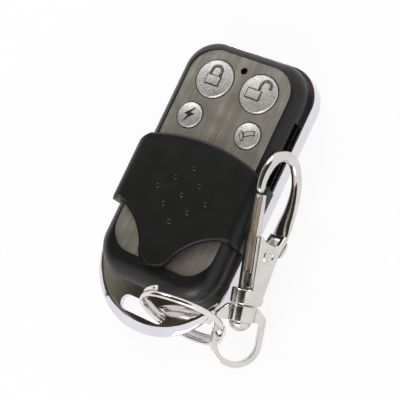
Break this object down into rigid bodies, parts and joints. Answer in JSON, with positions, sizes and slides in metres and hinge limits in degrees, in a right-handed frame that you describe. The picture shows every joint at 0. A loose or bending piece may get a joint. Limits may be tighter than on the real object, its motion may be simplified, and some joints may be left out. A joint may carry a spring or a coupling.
{
  "type": "gate remote control",
  "caption": "Key-ring gate remote with a chrome back, a black front with round metal buttons under a sliding cover, and a split ring with a swivel snap hook.",
  "frame": {"origin": "centre of the back face of the case, midway between its sides", "axes": "+Z out of the button face, +Y to the button end, +X to the right as the buttons are seen"},
  "size_m": [0.0458, 0.0689, 0.0199],
  "materials": {
    "chrome_tray": "polished",
    "black_shell": "soft touch",
    "brushed_plate": "brushed",
    "black_cover": "soft touch",
    "button_metal": "sandblasted",
    "plunger_plastic": "matte",
    "board_laminate": "satin",
    "switch_metal": "satin",
    "led_epoxy": "gloss",
    "chip_plastic": "matte",
    "copper_track": "satin",
    "capacitor_ceramic": "matte",
    "battery_sleeve": "gloss",
    "contact_nickel": "satin",
    "screw_steel": "satin",
    "ring_nickel": "polished",
    "clasp_nickel": "polished"
  },
  "bodies": {
    "case": {"back_shell": "chrome_tray", "front_shell": "black_shell", "face_plate": "brushed_plate", "circuit_board": "board_laminate", "tact_switches": "switch_metal", "status_led": "led_epoxy", "saw_resonator": "switch_metal", "encoder_chip": "chip_plastic", "rf_transistor": "chip_plastic", "loop_antenna": "copper_track", "chip_capacitors": "capacitor_ceramic", "chip_resistors": "chip_plastic", "battery_can": "battery_sleeve", "battery_cap": "contact_nickel", "negative_contact": "contact_nickel", "positive_contact": "contact_nickel", "case_screws": "screw_steel"},
    "cover": {"slide_cover": "black_cover"},
    "lock_key": {"lock_button": "button_metal", "lock_plunger": "plunger_plastic"},
    "unlock_key": {"unlock_button": "button_metal", "unlock_plunger": "plunger_plastic"},
    "bolt_key": {"bolt_button": "button_metal", "bolt_plunger": "plunger_plastic"},
    "horn_key": {"horn_button": "button_metal", "horn_plunger": "plunger_plastic"},
    "ring": {"split_ring": "ring_nickel"},
    "eye": {"swivel_eye": "clasp_nickel"},
    "hook": {"hook_body": "clasp_nickel", "swivel_rivet": "clasp_nickel", "gate_pin": "clasp_nickel", "gate_spring": "screw_steel"},
    "gate": {"gate_lever": "clasp_nickel"}
  },
  "joints": [
    {"name": "cover_slide", "type": "slide", "parent": "case", "child": "cover", "axis": [0, 1, 0], "range_m": [0, 0.0215]},
    {"name": "lock_press", "type": "slide", "parent": "case", "child": "lock_key", "axis": [0, 0, -1], "range_m": [0, 0.0004], "stiffness_N_per_m": 700},
    {"name": "unlock_press", "type": "slide", "parent": "case", "child": "unlock_key", "axis": [0, 0, -1], "range_m": [0, 0.0004], "stiffness_N_per_m": 700},
    {"name": "bolt_press", "type": "slide", "parent": "case", "child": "bolt_key", "axis": [0, 0, -1], "range_m": [0, 0.0004], "stiffness_N_per_m": 700},
    {"name": "horn_press", "type": "slide", "parent": "case", "child": "horn_key", "axis": [0, 0, -1], "range_m": [0, 0.0004], "stiffness_N_per_m": 700},
    {"name": "ring_swing", "type": "hinge", "parent": "case", "child": "ring", "pos_m": [0.0049, -0.02905, 0.00375], "axis": [1, 0, 0], "range_deg": [0, 20]},
    {"name": "eye_swing", "type": "hinge", "parent": "ring", "child": "eye", "pos_m": [0.02133, -0.027, 0.00708], "axis": [-0.2734, -0.2891, -0.9174], "range_deg": [0, 25]},
    {"name": "hook_swivel", "type": "hinge", "parent": "eye", "child": "hook", "pos_m": [0.02064, -0.00856, 0.00916], "axis": [0.1567, -0.9546, -0.2531], "range_deg": [0, 180]},
    {"name": "gate_open", "type": "hinge", "parent": "hook", "child": "gate", "pos_m": [0.02171, -0.00779, 0.00692], "axis": [-0.8974, -0.0307, -0.4401], "range_deg": [0, 22], "stiffness_Nm_per_rad": 0.02}
  ]
}
